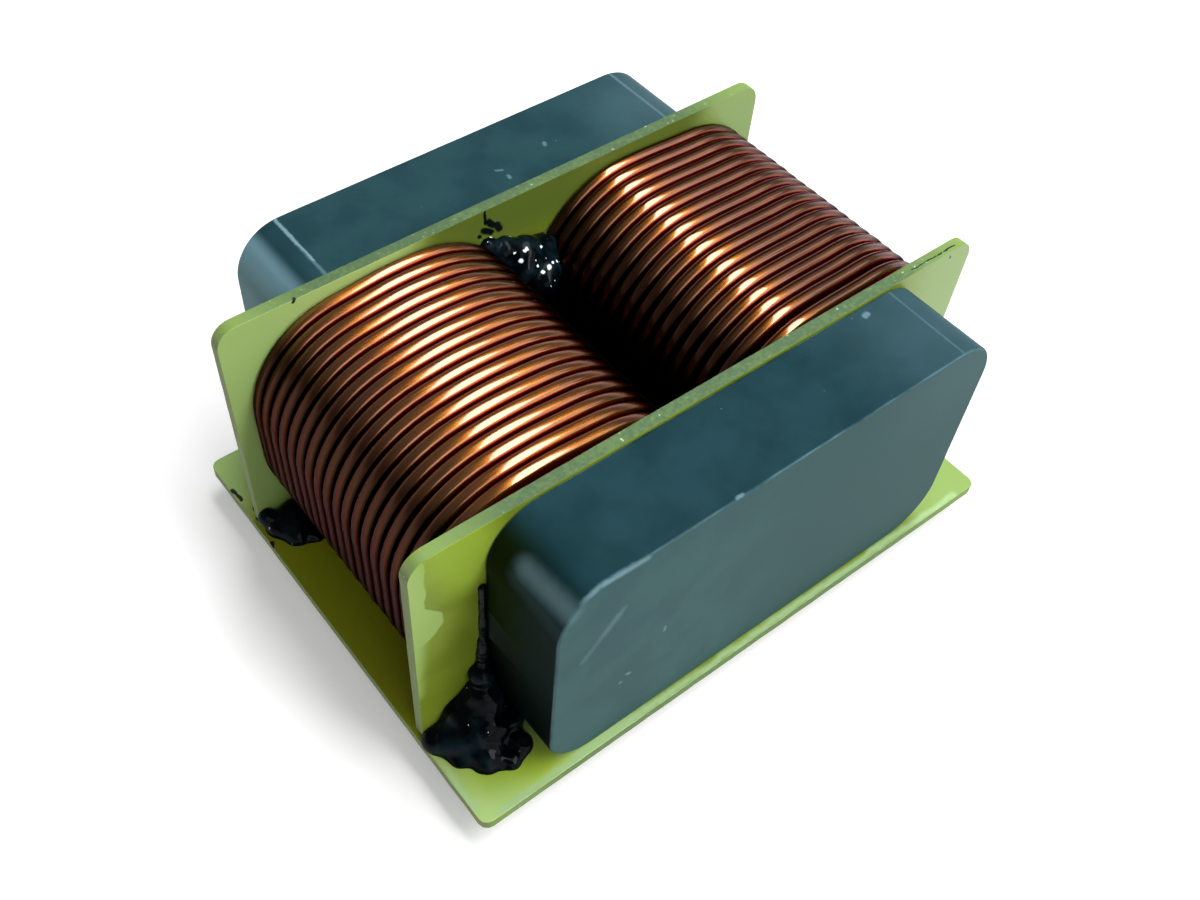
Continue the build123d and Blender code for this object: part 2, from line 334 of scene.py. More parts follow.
def boardShader(name, look, flatAxis):
    # flatAxis is the axis that the board's faces look along
    shader = Shader(name)
    here = shader.place()
    axes = shader.parts(here)
    facing = shader.parts(shader.facing())
    leftward, alongward, upward = facing
    edge = shader.step(abs(facing[flatAxis]), *look["edgeFacing"])
    waves = [(axes[i] * (2 * math.pi / look["weave"])).sine() for i in range(3) if i != flatAxis]
    weave = waves[0] * waves[1]
    cloud = shader.grain(here, look["cloud"], 3)
    fine = shader.grain(here, look["fine"], 2)
    colour = shader.mix(shader.patches(cloud + weave * look["weaveShow"]), look["deep"], look["face"])
    ragged = shader.warped(here, *look["tintRagged"])
    # painted light and painted shade, along the listed strokes
    for start, end, reach, soft, tint in boardMarks[name]["paintedLightAndShade"]:
        colour = shader.mix(shader.stroke(ragged, start, end, reach, soft), colour, look[tint])
    # thin layers of glass cloth
    layerScale = [look["layerAcross" if i == flatAxis else "layerAlong"] for i in range(3)]
    layers = shader.grain(shader.stretched(here, layerScale), look["layer"], 3)
    edgeColour = shader.mix(shader.step(layers, 0.4, 0.7), look["edge"], look["face"])
    patchy = shader.step(fine * 0.5 + cloud * 0.5, 0.62, 0.42)
    patchy = patchy * look["patchShare"] + (1 - look["patchShare"])
    # painted shade on the long top and front edges towards the middle, painted light on left-facing edges
    middle = shader.step(abs(axes[0]), *look["edgeFade"]) * patchy
    edgeColour = shader.mix(shader.step(upward, *look["upFacing"]) * middle, edgeColour, look["shadedTopEdge"])
    forward = shader.step(alongward, *look["outFacing"])
    edgeColour = shader.mix(forward * middle, edgeColour, look["shadedFrontEdge"])
    edgeColour = shader.mix(shader.step(leftward, *look["outFacing"]) * patchy, edgeColour, look["litLeftEdge"])
    colour = shader.mix(edge, colour, edgeColour)
    colour = shader.mix(shader.step(fine, *look["specks"]) * edge, colour, look["speck"])
    ink = 0
    smeared = shader.warped(here, *look["inkRagged"])
    for start, end, reach in boardMarks[name]["ink"]:
        ink = shader.stroke(smeared, start, end, reach).most(ink)
    height = weave * look["weaveDepth"] * (1 - edge) + fine * edge
    return shader.done({
        "Base Color": shader.mix(ink, colour, look["ink"]),
        "Roughness": look["roughness"] + edge * look["edgeRoughness"] + (cloud - 0.5) * look["roughSpread"],
        "IOR": look["ior"], "Specular IOR Level": look["gloss"],
        "Normal": shader.bump(height, *look["bump"]),
    })


coreLook = {
    "face": srgb(31, 62, 70), "dark": srgb(23, 53, 60),  # the front half, and the colour of its patches
    "frontFace": srgb(65, 98, 99), "frontDark": srgb(57, 89, 92), "right": srgb(53, 83, 84),  # its front faces, painted lighter than the tops as painted light, and darker towards the right end as painted shade
    "black": srgb(0, 2, 2), "dim": srgb(0, 9, 9),  # painted shade on its left side low down, and a painted reflection of the glue there
    "green": srgb(17, 29, 4), "leftFace": srgb(4, 27, 25),  # higher up, a painted reflection of the flange, and painted shade towards the front
    # the rear half, painted lighter than the front half: a painted sheen
    "rear": srgb(38, 69, 75), "rearDark": srgb(31, 60, 67),
    "rounding": srgb(113, 151, 164), "roundingLow": srgb(142, 182, 192),  # painted highlight on the rear half's left rounding, lighter where it faces further left
    # edge: the pale colour of chips, scratches and wear, and of painted highlights and sheen
    "edge": srgb(112, 145, 155), "speck": srgb(170, 190, 196),
    # places in millimetres where one colour ends and the next is full
    "rightFrom": -12, "rightTo": 10, "rightShare": 0.8, "forwardFrom": -21, "forwardTo": -29,
    "lowTop": 11, "highFrom": 22,
    "cloud": 7, "fine": 0.35, "ragged": (0.7, 0.12),  # sizes in millimetres
    "specks": (0.79, 0.83), "rimWearAndHighlight": 0.6,
    # how squarely the surface looks that way where a colour begins and is full
    "frontFacing": (-0.6, -0.95), "leftFacing": (-0.25, -0.8), "roundingFacing": (-0.4, -0.68),
    "roundingLowFacing": (-0.74, -0.97), "rimBegins": (0.25, 0.6), "rimEnds": (0.97, 0.8),
    "roughness": 0.5, "roughSpread": 0.15, "gloss": 0.025, "ior": 1.5, "bump": (0.3, 0.1), "fineDepth": 0.08,
    "sheen": 0.06, "sheenRoughness": 0.45, "sheenFacing": (0.4, 0.9),
}
# pale marks: chips and scratches in the coating, and painted highlights and painted sheen; from, to, reach,
# how soft and how strong
chipsAndHighlights = [
    # on the front half's face: chips, and a scratch that runs up to its top edge
    ((-20.4, coreFront, 12.9), (-20.0, coreFront, 12.6), 0.22, 0.5, 0.8),
    ((-21.3, coreFront, 11.9), (-21.1, coreFront, 11.7), 0.2, 0.5, 0.7),
    ((-15.7, coreFront, 18.0), (-15.7, coreFront, 17.3), 0.2, 0.5, 0.8),
    ((-27.0, coreFront, 22.4), (-22.3, coreFront, 27.9), 0.38, 0.95, 0.32),
    ((-24.6, coreFront, 25.2), (-22.9, coreFront, 27.2), 0.5, 0.95, 0.45),
    # on its top and along its rim: chips, pale lines of wear and painted highlight, and a broad painted
    # sheen at the right end
    ((-8.6, -30.7, 35.0), (-7.9, -30.7, 35.0), 0.3, 0.5, 0.8),
    ((19.7, -20.4, coreTop), (20.2, -20.3, coreTop), 0.35, 0.6, 0.7),
    ((24.7, -19.0, coreTop), (24.4, -30.5, coreTop), 0.2, 0.9, 0.35),
    ((-28.6, -30.7, 33.6), (-25.8, -30.7, 34.75), 0.3, 0.8, 0.8),
    ((-25.8, -30.7, 34.75), (-20.0, coreFront, 34.5), 0.3, 0.9, 0.8),
    ((27.0, -26.0, coreTop), (38.0, -24.0, coreTop), 10.0, 0.9, 0.16),
    # on the rear half's top: chips, a pale line of scratch and painted highlight where it meets the right
    # rounding, and a broad painted sheen at the right end
    ((9.0, 23.5, coreTop), (9.2, 23.9, coreTop), 0.25, 0.6, 0.5),
    ((1.8, 20.9, coreTop), (1.9, 21.4, coreTop), 0.2, 0.6, 0.5),
    ((1.2, 23.0, coreTop), (1.9, 22.6, coreTop), 0.15, 0.6, 0.5),
    ((24.9, 19.0, coreTop), (24.9, 30.6, coreTop), 0.28, 0.9, 0.5),
    ((28.0, 22.0, coreTop), (36.0, 28.0, coreTop), 9.0, 0.9, 0.2),
    # where its top meets the left rounding, a pale line of scratch and painted highlight, and painted
    # highlight down that rounding
    ((-24.7, 19.0, coreTop), (-24.7, 30.6, coreTop), 0.2, 0.9, 0.5),
    ((-24.6, 22.0, coreTop), (-24.7, 30.6, coreTop), 0.15, 0.5, 1),
    ((-24.7, 25.5, coreTop), (-24.7, 30.6, coreTop), 0.22, 0.7, 1),
    ((-29.3, 19.0, 34.0), (-29.3, 30.6, 34.0), 0.6, 0.9, 0.15),
    ((-32.0, 19.0, 32.5), (-32.0, 30.6, 32.5), 0.5, 0.9, 0.25),
    # painted highlight on the front half's left rounding
    ((-29.8, -24.0, 32.5), (-29.4, -32.0, 33.0), 1.3, 0.9, 0.6),
    ((-29.7, -26.5, 32.6), (-29.2, -32.0, 33.1), 1.0, 0.9, 0.35),
    ((-30.6, -23.4, 31.2), (-30.9, -32.0, 30.6), 1.1, 0.9, 0.2),
]


def coreShader(name, look):
    shader = Shader(name)
    here = shader.place()
    x, y, z = shader.parts(here)
    leftward, alongward = shader.parts(shader.facing())[:2]
    facing = abs(alongward)
    cloud = shader.grain(here, look["cloud"], 4)
    fine = shader.grain(here, look["fine"], 2)
    front = shader.step(y, 0, -1)  # the halves meet at 0
    patchy = shader.patches(cloud)
    # the rear half painted lighter than the front half: a painted sheen
    rearColour = shader.mix(patchy, look["rearDark"], look["rear"])
    colour = shader.mix(front, rearColour, shader.mix(patchy, look["dark"], look["face"]))
    # the front faces painted lighter than the tops, painted light, with painted shade towards the right end
    frontColour = shader.mix(patchy, look["frontDark"], look["frontFace"])
    shadedRightward = shader.step(x, look["rightFrom"], look["rightTo"]) * look["rightShare"]
    frontColour = shader.mix(shadedRightward, frontColour, look["right"])
    colour = shader.mix(shader.step(alongward, *look["frontFacing"]), colour, frontColour)
    # painted shade and painted reflections of the glue and the flange on the front half's left side
    forward = shader.step(y, look["forwardFrom"], look["forwardTo"])
    low = shader.mix(forward, look["black"], look["dim"])
    high = shader.mix(forward, look["green"], look["leftFace"])
    leftColour = shader.mix(shader.step(z, look["lowTop"], look["highFrom"]), low, high)
    colour = shader.mix(shader.step(leftward, *look["leftFacing"]) * front, colour, leftColour)
    # painted highlight on the rear half's left rounding and left side
    lowDown = shader.step(leftward, *look["roundingLowFacing"])
    rounding = shader.mix(lowDown, look["rounding"], look["roundingLow"])
    colour = shader.mix(shader.step(leftward, *look["roundingFacing"]) * (1 - front), colour, rounding)
    # pale patches on the rounded rims, wear and painted highlight, then the listed chips, scratches, painted
    # highlights and painted sheen
    rim = shader.step(facing, *look["rimBegins"]) * shader.step(facing, *look["rimEnds"])
    wornAndLit = rim * shader.step(cloud, 0.3, 0.7) * look["rimWearAndHighlight"]
    ragged = shader.warped(here, *look["ragged"])
    for start, end, reach, soft, strong in chipsAndHighlights:
        wornAndLit = (shader.stroke(ragged, start, end, reach, soft) * strong).most(wornAndLit)
    colour = shader.mix(wornAndLit, colour, look["edge"])
    return shader.done({
        "Base Color": shader.mix(shader.step(fine, *look["specks"]), colour, look["speck"]),
        "Roughness": look["roughness"] + (cloud - 0.5) * look["roughSpread"], "IOR": look["ior"],
        "Specular IOR Level": look["gloss"],
        "Normal": shader.bump(cloud + fine * look["fineDepth"], *look["bump"]),
        "Coat Weight": shader.step(facing, *look["sheenFacing"]) * look["sheen"],
        "Coat Roughness": look["sheenRoughness"],
    })


glueLook = {
    "colour": srgb(1, 6, 9), "haze": srgb(12, 27, 33), "glintWhite": srgb(235, 245, 245),
    "ripple": 2.6, "fine": 0.5, "glintSpots": 0.8, "ragged": (0.8, 0.2),  # sizes in millimetres
    "hazeAt": (0.42, 0.65), "dullAt": (0.5, 0.8), "glintSpotsAt": (0.775, 0.795), "glintSpotsUp": (0.2, 0.5),
    "topFrom": 18, "topTo": 22, "topGlintSpots": 0.06,  # more painted glints on the lump between the coils, high up
    "roughness": 0.12, "hazeRoughness": 0.25, "gloss": 0.05, "ior": 1.55,
    "bump": (0.3, 0.15), "fineDepth": 0.1,
    # painted white glints: lines in millimetres that meet the surface there, and reach
    "glints": [
        ((-4.3, 6.4, 34), (2.5, 14.8, 24), 0.22), ((-3.2, 6.6, 34), (3.7, 15.1, 24), 0.3),
        ((-5.2, 9.3, 34), (1.5, 18.0, 24), 0.28), ((-3.4, 10.5, 34), (3.4, 19.3, 24), 0.2),
        ((-2.3, 7.0, 34), (4.6, 15.5, 24), 0.14), ((-1.9, 9.8, 34), (5.1, 18.6, 24), 0.16),
        ((-32.6, -29.2, 3), (-32.4, -29.3, 3), 0.3),
    ],
}


def glueShader(name, look):
    shader = Shader(name)
    here = shader.place()
    z = shader.parts(here)[2]
    upward = shader.parts(shader.facing())[2]
    ripple = shader.grain(here, look["ripple"], 2)
    fine = shader.grain(here, look["fine"], 2)
    colour = shader.mix(shader.step(ripple, *look["hazeAt"]), look["colour"], look["haze"])
    # painted glints: white spots on upward faces, more high up, and at the listed lines
    more = shader.step(z, look["topFrom"], look["topTo"]) * look["topGlintSpots"]
    glintSpots = shader.step(shader.grain(here, look["glintSpots"], 1) + more, *look["glintSpotsAt"])
    glintSpots = glintSpots * shader.step(upward, *look["glintSpotsUp"])
    ragged = shader.warped(here, *look["ragged"])
    for start, end, reach in look["glints"]:
        glintSpots = shader.stroke(ragged, start, end, reach).most(glintSpots)
    return shader.done({
        "Base Color": shader.mix(glintSpots, colour, look["glintWhite"]), "IOR": look["ior"],
        "Roughness": look["roughness"] + shader.step(ripple, *look["dullAt"]) * look["hazeRoughness"],
        "Specular IOR Level": look["gloss"],
        "Normal": shader.bump(ripple + fine * look["fineDepth"], *look["bump"]),
    })


paperLook = {
    "colour": srgb(205, 196, 172), "fleck": srgb(184, 172, 146), "flecksAt": (0.4, 0.7),
    "fibre": 0.7, "fibreScale": (1, 0.3, 1),  # size in millimetres, and how it is stretched
    "roughness": 0.7, "roughSpread": 0.1, "bump": (0.3, 0.05),
}


def paperShader(name, look):
    shader = Shader(name)
    here = shader.place()
    fibre = shader.grain(shader.stretched(here, look["fibreScale"]), look["fibre"], 4)
    return shader.done({
        "Base Color": shader.mix(shader.step(fibre, *look["flecksAt"]), look["colour"], look["fleck"]),
        "Roughness": look["roughness"] + (fibre - 0.5) * look["roughSpread"],
        "Normal": shader.bump(fibre, *look["bump"]),
    })


spacerLook = dict(boardLook, face=srgb(168, 170, 96), deep=srgb(150, 152, 80))

copper = {side: copperShader(side + "Copper", copperLook, copperLook[side]) for side in ("left", "right")}
plateBoard = boardShader("plate", boardLook, 2)
flangeBoard = boardShader("flange", boardLook, 1)
spacerBoard = boardShader("spacer", spacerLook, 1)
coreCoat = coreShader("coreCoat", coreLook)
epoxy = glueShader("blackEpoxy", glueLook)
paper = paperShader("sleevePaper", paperLook)
print("materials made")


# Meshes, in millimetres until they are put in place

def intoScene(name, data):
    made = bpy.data.objects.new(name, data)
    bpy.context.scene.collection.objects.link(made)
    return made


def makePiece(name, mesh, material, node, sharp=35):
    for face in mesh.polygons:
        face.use_smooth = True
    mesh.set_sharp_from_angle(angle=math.radians(sharp))
    mesh.materials.clear()
    mesh.materials.append(material)
    piece = intoScene(name, mesh)
    even = piece.modifiers.new("even", "WEIGHTED_NORMAL")  # keeps wide faces flat beside their rounded rims
    even.keep_sharp = True
    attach(piece, "root")
    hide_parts(node)
    return piece


def applied(piece):
    # a new mesh of the piece with its modifiers, and the piece is gone
    depsgraph = bpy.context.evaluated_depsgraph_get()
    mesh = bpy.data.meshes.new_from_object(piece.evaluated_get(depsgraph))
    bpy.data.objects.remove(piece)
    return mesh


outlineMake = {"arcStep": 0.6, "waverScale": 0.35, "weld": 0.001}


def roundedOutline(width, height, radii, step, waver=0, seed=0):
    # points round a rectangle with a radius for each corner, from +X +Y on against the clock,
    # drawn in by up to the waver as a hand-cut edge is
    make = outlineMake
    points = []
    signs = [(1, 1), (-1, 1), (-1, -1), (1, -1)]
    for quarter, (signX, signY) in enumerate(signs):
        radius = radii[quarter]
        x = signX * (width / 2 - radius)
        y = signY * (height / 2 - radius)
        turns = max(2, round(radius * math.pi / 2 / min(step, make["arcStep"])))
        for i in range(turns + 1):
            angle = math.radians(90 * (quarter + i / turns))
            points.append(Vector((x + radius * math.cos(angle), y + radius * math.sin(angle), 0)))
    filled = []
    for here, there in zip(points, points[1:] + points[:1]):
        count = max(1, round((there - here).length / step))
        filled += [here.lerp(there, i / count) for i in range(count)]
    if waver:
        for point in filled:
            inward = -point.normalized()
            wave = noise.noise(point * make["waverScale"] + Vector((seed, 0, 0)))
            point += inward * waver * (0.5 + 0.5 * wave)
    return filled


def plateMesh(outlines, thickness, rounding, steps):
    # flat body with rounded rims, in XY about z = 0; the first outline is outside and the rest are holes
    curve = bpy.data.curves.new("outline", "CURVE")
    curve.dimensions = "2D"
    curve.fill_mode = "BOTH"
    for outline in outlines:
        spline = curve.splines.new("POLY")
        spline.points.add(len(outline) - 1)
        for point, target in zip(spline.points, outline):
            point.co = (target[0], target[1], 0, 1)
        spline.use_cyclic_u = True
    curve.extrude = thickness / 2 - rounding
    curve.bevel_depth = rounding
    curve.bevel_resolution = steps
    curve.offset = -rounding
    mesh = applied(intoScene("outline", curve))
    shape = bmesh.new()
    shape.from_mesh(mesh)
    bmesh.ops.remove_doubles(shape, verts=shape.verts, dist=outlineMake["weld"])
    bmesh.ops.recalc_face_normals(shape, faces=shape.faces)
    shape.to_mesh(mesh)
    shape.free()
    return mesh


def placed(mesh, place, standing):
    # puts a mesh at its place, in metres, and where it is standing, its faces look along Y
    turn = Matrix.Rotation(math.pi / 2, 4, "X") if standing else Matrix.Identity(4)
    mesh.transform(Matrix.Scale(mm, 4) @ Matrix.Translation(place) @ turn)
    return mesh


# Coils: one flat wire each, wound on its edge

wireMake = {
    "turns": 18, "width": 5.0, "thickness": 1.6, "gap": 0.27,
    "edgePower": 2.5,  # 2 is a round edge, more is squarer
    "edgeSteps": 12, "innerSteps": 6, "bendSteps": 12, "runSteps": 7, "shortRun": 2,
    "cornerRadius": 12.5, "lift": 0.1, "tipTaper": 0.3,
    "freeFrom": 6,  # the plate's slots hold the wire, and so far above them it is free
    "waveOut": 0.07, "waveAlong": 0.03, "waveScale": 0.09, "waveTurn": 1.7,  # how uneven the turns are
    "bowReach": 10,  # to each side of the bow's crest
    "skewPivot": -0.1, "skewGrowth": 1.3,  # where a slanting turn stays put, and how fast the slant grows
}
coilMake = {
    # bow: how far the top of a turn rises; bowAt: where, for the front and the rear turn;
    # rearRise and rearShift: where the rear turns sit; skew: how far the front turns slant;
    # lean: of the front turn alone, at its left, crest and right; looseGap: beside the first turn
    "left": {"node": "left_coil", "side": 1, "seed": 40, "looseGap": 0.05, "bow": 0.65, "bowAt": (-2, 2),
             "rearRise": 0.6, "rearShift": -0.15, "skew": 0, "lean": (0, 0, 0)},
    "right": {"node": "right_coil", "side": -1, "seed": -40, "looseGap": 0.35, "bow": 0.45,
              "bowAt": (-4.5, -3.8), "rearRise": 0.2, "rearShift": -0.1, "skew": 0.9,
              "lean": (-0.1, 0, 0.15)},
}


def wireSection(make, shrink=0):
    # corners of the wire's section: out of the coil, and along it
    half = make["width"] / 2 - shrink
    radius = make["thickness"] / 2 - shrink
    points = []
    for steps, start, power in ((make["edgeSteps"], -90, make["edgePower"]), (make["innerSteps"], 90, 2)):
        middle = half - radius if start < 0 else radius - half
        for i in range(steps + 1):
            angle = math.radians(start + 180 * i / steps)
            out = math.copysign(abs(math.cos(angle)) ** (2 / power), math.cos(angle))
            along = math.copysign(abs(math.sin(angle)) ** (2 / power), math.sin(angle))
            points.append((middle + radius * out, radius * along))
    return points


def bendStations(x, z, radius, y, start, steps):
    stations = []
    for i in range(steps + 1):
        angle = math.radians(start + 90 * i / steps)
        out = Vector((math.cos(angle), 0, math.sin(angle)))
        stations.append((Vector((x, y, z)) + out * radius, out))
    return stations


def coilStations(make, coil, low, high):
    # places along the wire, each with its direction out of the coil, about the coil's middle
    side = coil["side"]
    width = high.x - low.x
    bottom = plateTop + make["lift"]
    height = high.z - bottom
    radius = make["cornerRadius"] - make["width"] / 2
    across = width / 2 - make["cornerRadius"]
    upright = height / 2 - make["cornerRadius"]
    middle = Vector(((low.x + high.x) / 2, 0, bottom + height / 2))
    pitch = (make["thickness"] + make["gap"]) * -side
    first = (high.y if side > 0 else low.y) - make["thickness"] / 2 * side
    loose = coil["looseGap"] * -side
    places = [first + i * pitch + (loose if i else 0) for i in range(make["turns"])]
    lead = across + radius
    tip = low.z - middle.z
    stations = [(Vector((lead, places[0], tip + drop)), Vector((1, 0, 0))) for drop in (0, make["tipTaper"])]
    for i, y in enumerate(places):
        if i:
            stations += bendStations(-across, -upright, radius, places[i - 1], 180, make["bendSteps"])
            stations += bendStations(across, -upright, radius, y, 270, make["bendSteps"])
        stations += bendStations(across, upright, radius, y, 0, make["bendSteps"])
        stations += bendStations(-across, upright, radius, y, 90, make["bendSteps"])
    end = Vector((-1, 0, 0))
    stations += [(Vector((-lead, places[-1], tip + drop)), end) for drop in (make["tipTaper"], 0)]
    return stations, middle


def withRuns(make, stations):
    # more places on the straight runs, apart from short ones
    filled = []
    for (here, out), (there, nextOut) in zip(stations, stations[1:]):
        straight = (out - nextOut).length < 1e-6 and (there - here).length > make["shortRun"]
        count = make["runSteps"] if straight else 1
        filled += [(here.lerp(there, i / count), out) for i in range(count)]
    return filled + [stations[-1]]


def topBow(make, coil, x, rear, out):
    # how far the top of a turn rises there
    front, back = coil["bowAt"]
    crest = front + (back - front) * rear
    return coil["bow"] * (max(0, out.z) * max(0, 1 - ((x - crest) / make["bowReach"]) ** 2) ** 2)


def frontLean(coil, share, turned):
    # how far the front turn leans along the coil there
    if turned >= 1:
        return 0
    left, crest, right = coil["lean"]
    return crest + (right - crest) * max(0, share) + (left - crest) * max(0, -share)


def coilMesh(name, make, coil, low, high):
    stations, middle = coilStations(make, coil, low, high)
    stations = withRuns(make, stations)
    side = coil["side"]
    section = wireSection(make)
    tip = wireSection(make, make["tipTaper"])
    half = (high.x - low.x) / 2
    vertices, wireSpace = [], []
    length = 0
    turned = 0  # angle travelled round the coil, in turns
    elsewhere = Vector((9, 0, 0))  # another stretch of the noise
    last, lastOut = stations[0]
    for i, (place, out) in enumerate(stations):
        length += (place - last).length
        turned += out.angle(lastOut) / (2 * math.pi)
        last, lastOut = place, out
        above = max(0, place.z + middle.z - plateTop)
        free = min(1, above / make["freeFrom"])
        ends = 1 if 0 < turned < make["turns"] - 1 else free
        phase = Vector((place.x * make["waveScale"], place.z * make["waveScale"],
                        turned * make["waveTurn"] + coil["seed"]))
        bulge = make["waveOut"] * noise.noise(phase) * ends
        sway = make["waveAlong"] * noise.noise(phase + elsewhere) * ends
        x = side * place.x
        rear = (place.y - low.y) / (high.y - low.y)
        height = above / (2 * middle.z)
        rise = topBow(make, coil, x, rear, out) + coil["rearRise"] * rear * height
        shift = coil["rearShift"] * rear * height
        slant = min(1, height * make["skewGrowth"]) * free
        sway += coil["skew"] * (1 - rear) * (x / half - make["skewPivot"]) * slant
        sway += frontLean(coil, x / half, turned) * free
        for u, v in tip if i in (0, len(stations) - 1) else section:
            at = Vector((x + shift + side * out.x * (u + bulge), place.y + sway + side * v,
                         place.z + rise + out.z * (u + bulge)))
            vertices.append((at + middle) * mm)
            wireSpace += [length, side * v, out.z]
    count = len(section)
    faces = [list(range(count))[::-1]]
    for a in range(0, len(vertices) - count, count):
        b = a + count
        for j in range(count):
            k = (j + 1) % count
            faces.append([a + j, a + k, b + k, b + j])
    faces.append([len(vertices) - count + j for j in range(count)])
    mesh = bpy.data.meshes.new(name)
    mesh.from_pydata(vertices, [], faces)
    mesh.validate()
    attribute = mesh.attributes.new("wireSpace", "FLOAT_VECTOR", "POINT")
    attribute.data.foreach_set("vector", wireSpace)
    print(name, "has", len(faces), "faces and", round(length / 1000, 2), "m of wire")
    return mesh


for side, coil in coilMake.items():
    mesh = coilMesh(side + "Coil", wireMake, coil, *boxOf(coil["node"]))
    makePiece(coil["node"] + "_wire", mesh, copper[side], coil["node"], sharp=50)
print("coils made")


# Boards

boardMake = {"rounding": 0.08, "roundSteps": 1, "step": 0.9, "waver": 0.09, "flangeRadius": 2.6,
             "flangeFoot": 0.15, "plateRadius": 1.2, "windowRadius": 7.05, "windowGap": 0.25,
             "slotLength": 5.4, "slotWidth": 2.0, "slotRadius": 0.1, "cutStep": 2,
             "seeds": {"front_flange": 3, "rear_flange": 11, "base_plate": 7}}
legMake = {"width": 22.0, "height": 18.0, "radius": 6.8, "rounding": 0.3, "step": 2.5}


def legCentres():
    # middle of each leg: as far apart as the core's ends allow
    low, high = boxOf("front_core")
    middle = (low.z + high.z) / 2
    reach = (high.x - low.x - legMake["width"]) / 2
    return [(-reach, middle), (reach, middle)]


def hole(make, width, height, radius, x, y):
    outline = roundedOutline(width, height, [radius] * 4, make["cutStep"])
    return [point + Vector((x, y, 0)) for point in outline]


def flangePiece(make, leg, node):
    low, high = boxOf(node)
    middle = middleOf(node)
    corner, foot = make["flangeRadius"], make["flangeFoot"]
    outlines = [roundedOutline(high.x - low.x, high.z - low.z, (corner, corner, foot, foot), make["step"],
                               make["waver"], make["seeds"][node])]
    gap = make["windowGap"]
    for x, z in legCentres():
        outlines.append(hole(make, leg["width"] + 2 * gap, leg["height"] + 2 * gap, make["windowRadius"],
                             x - middle.x, z - middle.z))
    mesh = plateMesh(outlines, high.y - low.y, make["rounding"], make["roundSteps"])
    return makePiece(node + "_board", placed(mesh, middle, True), flangeBoard, node)


def basePiece(make, wire):
    low, high = boxOf("base_plate")
    middle = middleOf("base_plate")
    outlines = [roundedOutline(high.x - low.x, high.y - low.y, [make["plateRadius"]] * 4, make["step"],
                               make["waver"], make["seeds"]["base_plate"])]
    inset, half = wire["width"] / 2, wire["thickness"] / 2
    for coil in coilMake.values():
        coilLow, coilHigh = boxOf(coil["node"])
        for x, y in ((coilHigh.x - inset, coilHigh.y - half), (coilLow.x + inset, coilLow.y + half)):
            outlines.append(hole(make, make["slotLength"], make["slotWidth"], make["slotRadius"],
                                 x - middle.x, y - middle.y))
    mesh = plateMesh(outlines, high.z - low.z, make["rounding"], make["roundSteps"])
    return makePiece("base_plate_board", placed(mesh, middle, False), plateBoard, "base_plate")


flangePiece(boardMake, legMake, "front_flange")
flangePiece(boardMake, legMake, "rear_flange")
basePiece(boardMake, wireMake)
print("boards made")


# Core halves

coreMake = {"radius": 6.5, "rounding": 0.35, "roundSteps": 3, "step": 1.2, "waver": 0.05, "seed": 5,
            "yokeDepth": 11.75, "joint": 0.8}  # joint: how far the legs reach into the yoke


def coreMesh(make, leg, low, high, side):
    # a yoke with its two legs; side is 1 for the rear half and -1 for the front half
    x, z = (low.x + high.x) / 2, (low.z + high.z) / 2
    outer = high.y if side > 0 else low.y
    inner = low.y if side > 0 else high.y
    yokeFace = outer - side * make["yokeDepth"]
    outline = roundedOutline(high.x - low.x, high.z - low.z, [make["radius"]] * 4, make["step"],
                             make["waver"], side * make["seed"])
    yoke = plateMesh([outline], make["yokeDepth"], make["rounding"], make["roundSteps"])
    core = intoScene("core", placed(yoke, Vector((x, (outer + yokeFace) / 2, z)), True))
    legEnd = yokeFace + side * make["joint"]
    stubs = []
    for legX, legZ in legCentres():
        legOutline = roundedOutline(leg["width"], leg["height"], [leg["radius"]] * 4, leg["step"])
        bar = plateMesh([legOutline], abs(legEnd - inner), leg["rounding"], 1)
        stub = intoScene("leg", placed(bar, Vector((legX, (legEnd + inner) / 2, legZ)), True))
        join = core.modifiers.new("join", "BOOLEAN")
        join.operation = "UNION"
        join.solver = "EXACT"
        join.object = stub
        stubs.append(stub)
    mesh = applied(core)
    for stub in stubs:
        bpy.data.objects.remove(stub)
    return mesh


for node, side in (("front_core", -1), ("rear_core", 1)):
    mesh = coreMesh(coreMake, legMake, *boxOf(node), side)
    makePiece(node + "_block", mesh, coreCoat, node, sharp=30)
print("cores made")


# Glue: lumps of black epoxy, melted together and cut flat where they lie against something

